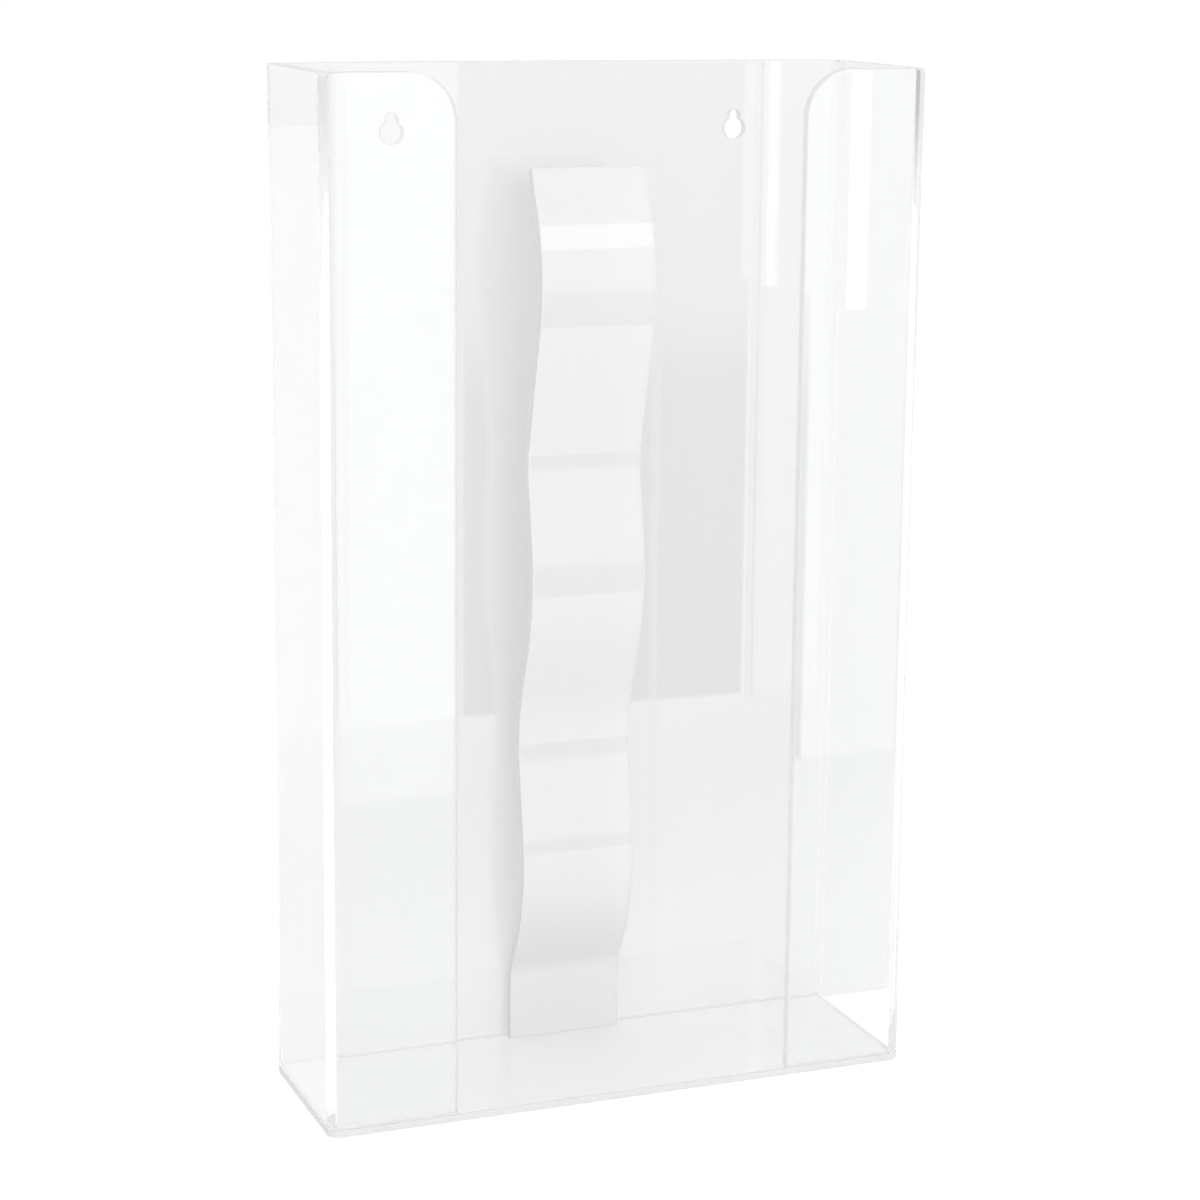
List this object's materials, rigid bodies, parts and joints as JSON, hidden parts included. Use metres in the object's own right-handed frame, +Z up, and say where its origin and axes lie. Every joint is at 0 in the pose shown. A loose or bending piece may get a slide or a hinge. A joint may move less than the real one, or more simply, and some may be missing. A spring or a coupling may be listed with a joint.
{
  "type": "disposable glove dispenser",
  "caption": "Clear wall-hung holder for stacked glove boxes, with a folded body open at the top and front, a base plate and a wavy leaf spring on the back panel.",
  "frame": {"origin": "middle of the footprint, on the underside of the base plate", "axes": "+Z up, front faces -Y, wall side is +Y, +X to the right as seen from the front"},
  "size_m": [0.26, 0.084, 0.432],
  "materials": {
    "body_sheet": "clear glossy acrylic sheet",
    "base_sheet": "clear glossy acrylic sheet",
    "spring_strip": "clear glossy acrylic strip"
  },
  "bodies": {
    "holder": {"folded_body": "body_sheet", "base_plate": "base_sheet"},
    "spring": {"wave_spring": "spring_strip"}
  },
  "joints": [
    {"name": "spring_flex", "type": "hinge", "parent": "holder", "child": "spring", "pos_m": [0, 0.0375, 0.0345], "axis": [-1, 0, 0], "range_deg": [0, 3.5], "stiffness_Nm_per_rad": 10}
  ]
}
